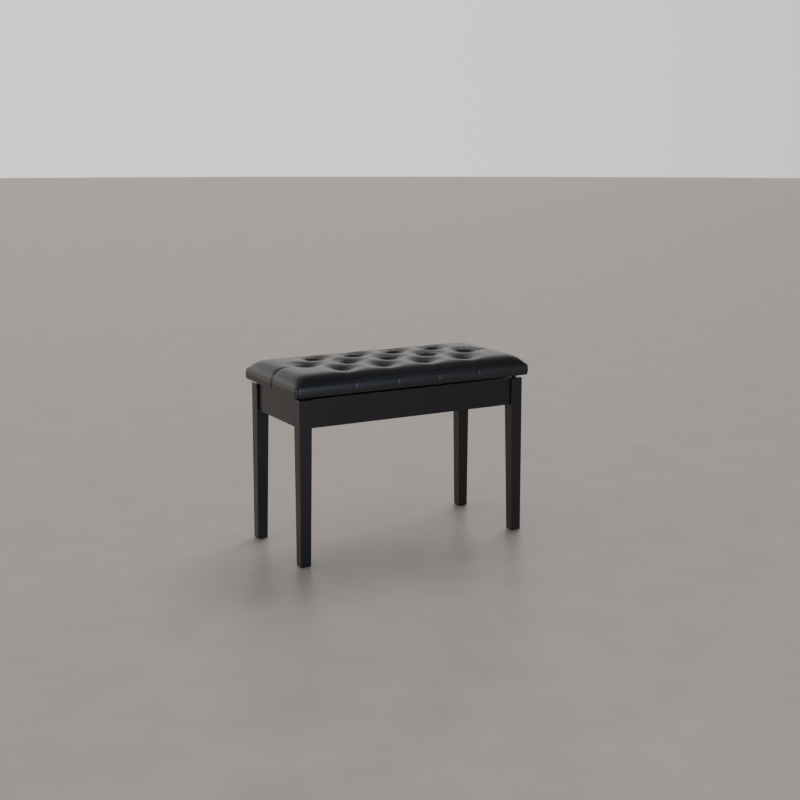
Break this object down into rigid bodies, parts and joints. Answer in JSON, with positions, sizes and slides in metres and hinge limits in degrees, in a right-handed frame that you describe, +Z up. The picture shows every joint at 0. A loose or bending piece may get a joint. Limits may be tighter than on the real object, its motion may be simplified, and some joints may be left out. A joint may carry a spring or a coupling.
{
  "type": "piano bench",
  "caption": "Black piano bench with tapered legs, a tufted padded seat hinged at the rear and a storage box under it.",
  "frame": {"origin": "on the floor, under the middle of the seat", "axes": "+X along the bench to its right-hand end, +Y to the hinge side (the piano's side), +Z up"},
  "size_m": [0.74, 0.35, 0.52],
  "materials": {
    "black_lacquer": "satin",
    "black_plywood": "matte",
    "pine": "matte",
    "beech": "matte",
    "plywood": "matte",
    "foam": "matte",
    "black_vinyl": "satin",
    "twine": "matte",
    "lining_cloth": "matte",
    "rubber": "matte",
    "glide_plastic": "matte",
    "nickel_steel": "satin",
    "zinc_steel": "satin"
  },
  "bodies": {
    "frame": {"leg_front_left": "black_lacquer", "leg_front_right": "black_lacquer", "leg_rear_left": "black_lacquer", "leg_rear_right": "black_lacquer", "front_apron": "black_lacquer", "rear_apron": "black_lacquer", "left_apron": "black_lacquer", "right_apron": "black_lacquer", "storage_panel": "black_plywood", "corner_block_front_left": "pine", "corner_block_front_right": "pine", "corner_block_rear_left": "pine", "corner_block_rear_right": "pine", "apron_dowels": "beech", "leg_bolts": "zinc_steel", "leg_washers": "zinc_steel", "leg_nuts": "zinc_steel", "floor_glides": "glide_plastic", "seat_bumpers": "rubber", "hinge_lower_leaf_left": "nickel_steel", "hinge_pin_left": "nickel_steel", "stay_frame_bracket_left": "zinc_steel", "stay_frame_rivet_left": "zinc_steel", "hinge_lower_leaf_right": "nickel_steel", "hinge_pin_right": "nickel_steel", "stay_frame_bracket_right": "zinc_steel", "stay_frame_rivet_right": "zinc_steel", "hinge_screws_lower": "nickel_steel", "stay_screws_frame": "zinc_steel"},
    "seat": {"lid_board": "plywood", "seat_foam": "foam", "seat_cover": "black_vinyl", "seat_buttons": "black_vinyl", "button_twines": "twine", "lid_lining": "lining_cloth", "lining_staples": "zinc_steel", "hinge_screws_upper": "nickel_steel", "stay_screws_seat": "zinc_steel", "hinge_upper_leaf_left": "nickel_steel", "stay_seat_bracket_left": "zinc_steel", "stay_seat_rivet_left": "zinc_steel", "hinge_upper_leaf_right": "nickel_steel", "stay_seat_bracket_right": "zinc_steel", "stay_seat_rivet_right": "zinc_steel"},
    "stay_long_left": {"stay_long_arm_left": "zinc_steel", "stay_knee_rivet_left": "zinc_steel"},
    "stay_short_left": {"stay_short_arm_left": "zinc_steel"},
    "stay_long_right": {"stay_long_arm_right": "zinc_steel", "stay_knee_rivet_right": "zinc_steel"},
    "stay_short_right": {"stay_short_arm_right": "zinc_steel"}
  },
  "joints": [
    {"name": "seat_hinge", "type": "hinge", "parent": "frame", "child": "seat", "pos_m": [0, 0.1585, 0.461], "axis": [-1, 0, 0], "range_deg": [0, 85]},
    {"name": "stay_left_frame_pivot", "type": "hinge", "parent": "frame", "child": "stay_long_left", "pos_m": [-0.2767, 0.1285, 0.406], "axis": [-1, 0, 0], "range_deg": [0, 86]},
    {"name": "stay_left_knee", "type": "hinge", "parent": "stay_long_left", "child": "stay_short_left", "pos_m": [-0.2744, -0.0215, 0.401], "axis": [-1, 0, 0], "range_deg": [-86, 0]},
    {"name": "stay_right_frame_pivot", "type": "hinge", "parent": "frame", "child": "stay_long_right", "pos_m": [0.2767, 0.1285, 0.406], "axis": [-1, 0, 0], "range_deg": [0, 86]},
    {"name": "stay_right_knee", "type": "hinge", "parent": "stay_long_right", "child": "stay_short_right", "pos_m": [0.2744, -0.0215, 0.401], "axis": [-1, 0, 0], "range_deg": [-86, 0]}
  ],
  "couplings": [
    {"joint": "stay_left_frame_pivot", "follows": "seat_hinge", "ratio": 1},
    {"joint": "stay_left_knee", "follows": "seat_hinge", "ratio": -1},
    {"joint": "stay_right_frame_pivot", "follows": "seat_hinge", "ratio": 1},
    {"joint": "stay_right_knee", "follows": "seat_hinge", "ratio": -1}
  ]
}
